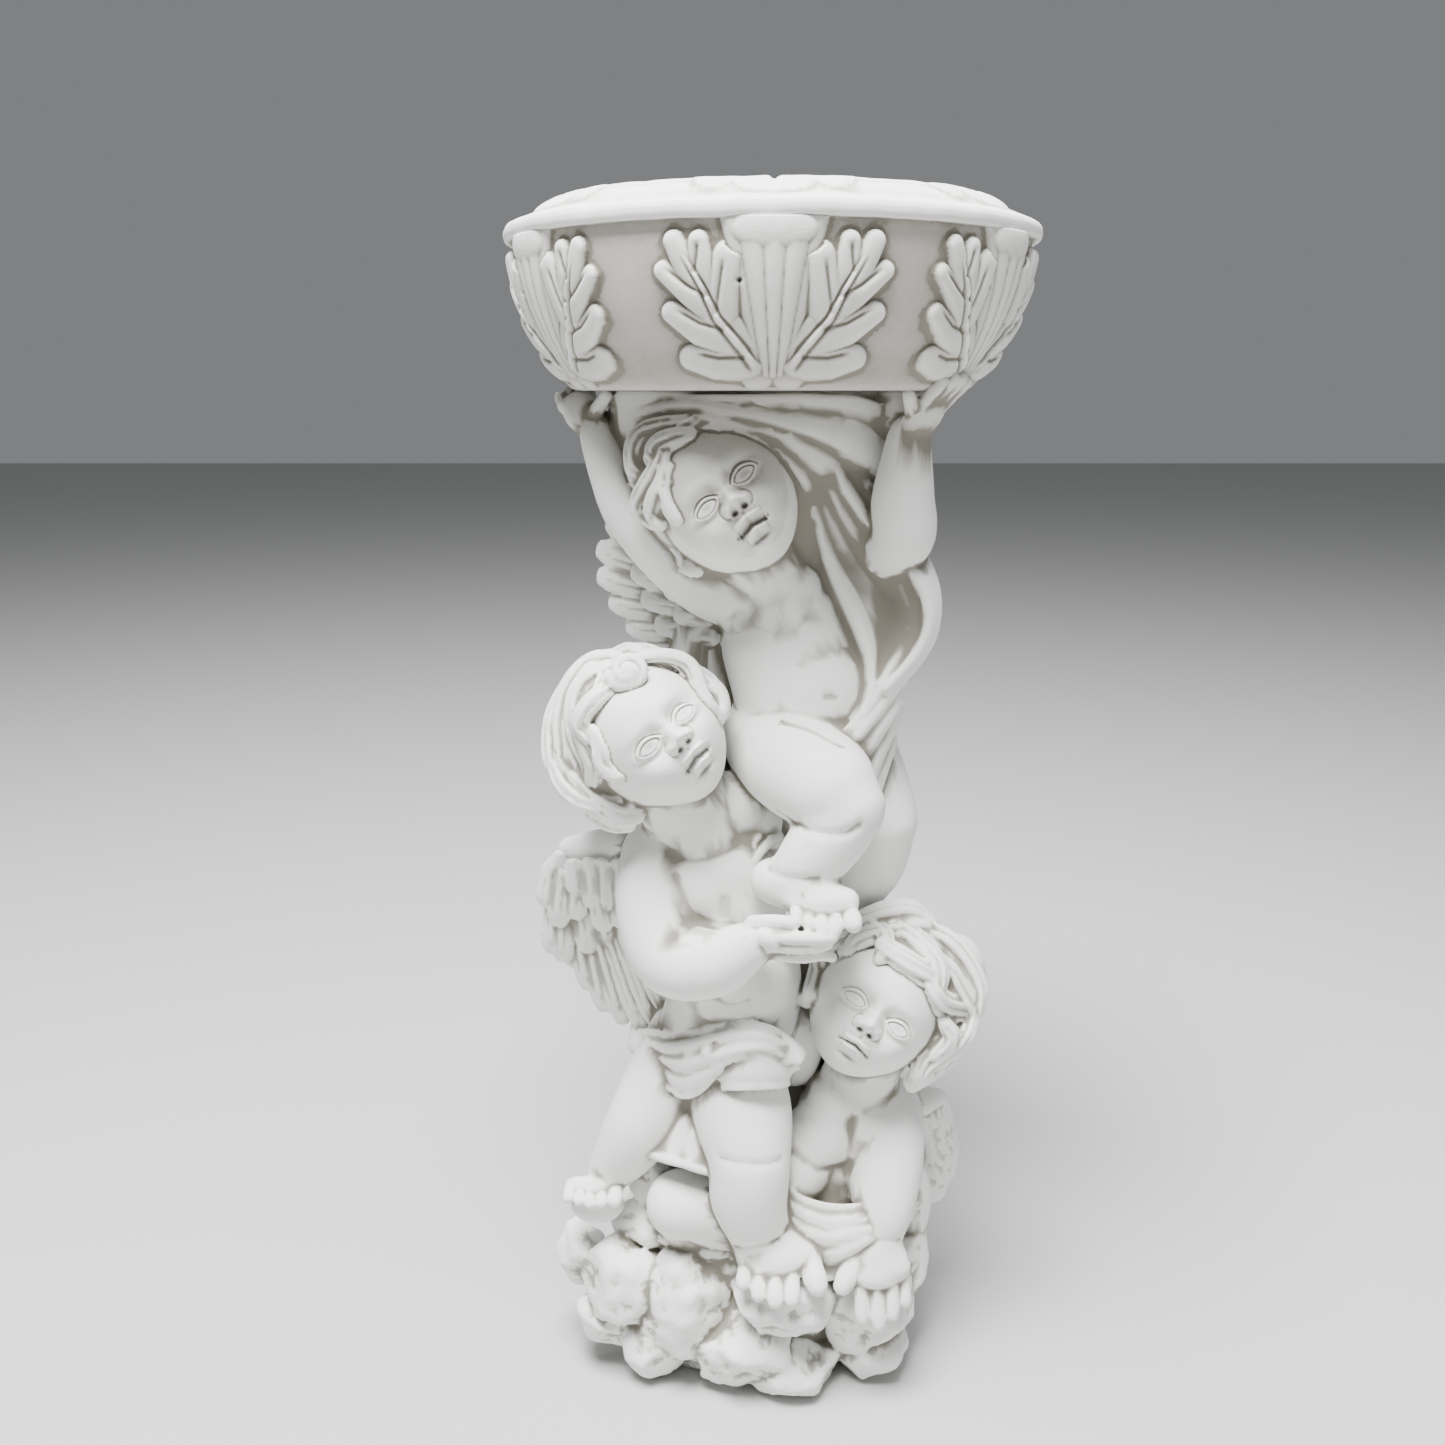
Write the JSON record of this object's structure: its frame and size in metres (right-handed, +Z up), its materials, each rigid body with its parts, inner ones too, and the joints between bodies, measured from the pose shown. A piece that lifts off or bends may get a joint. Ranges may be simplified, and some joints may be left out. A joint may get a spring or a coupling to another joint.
{
  "type": "cherub garden birdbath",
  "caption": "Garden birdbath: climbing winged cherubs on a worn rock base carry a round shallow basin carved with lobed leaves.",
  "frame": {"origin": "on the flat underside at ground level, under the centre of the basin", "axes": "+Z up; the front, which the cherubs face, looks along -Y; +X is to the right of someone facing the front"},
  "size_m": [0.3968, 0.3968, 0.932],
  "materials": {
    "basin_cast_stone": "matt white wash over cast fibre cement, grey in the hollows",
    "pedestal_cast_stone": "matt white wash over cast fibre cement, grey in the hollows"
  },
  "bodies": {
    "root": {"basin": "basin_cast_stone", "cherub_pedestal": "pedestal_cast_stone"}
  },
  "joints": []
}
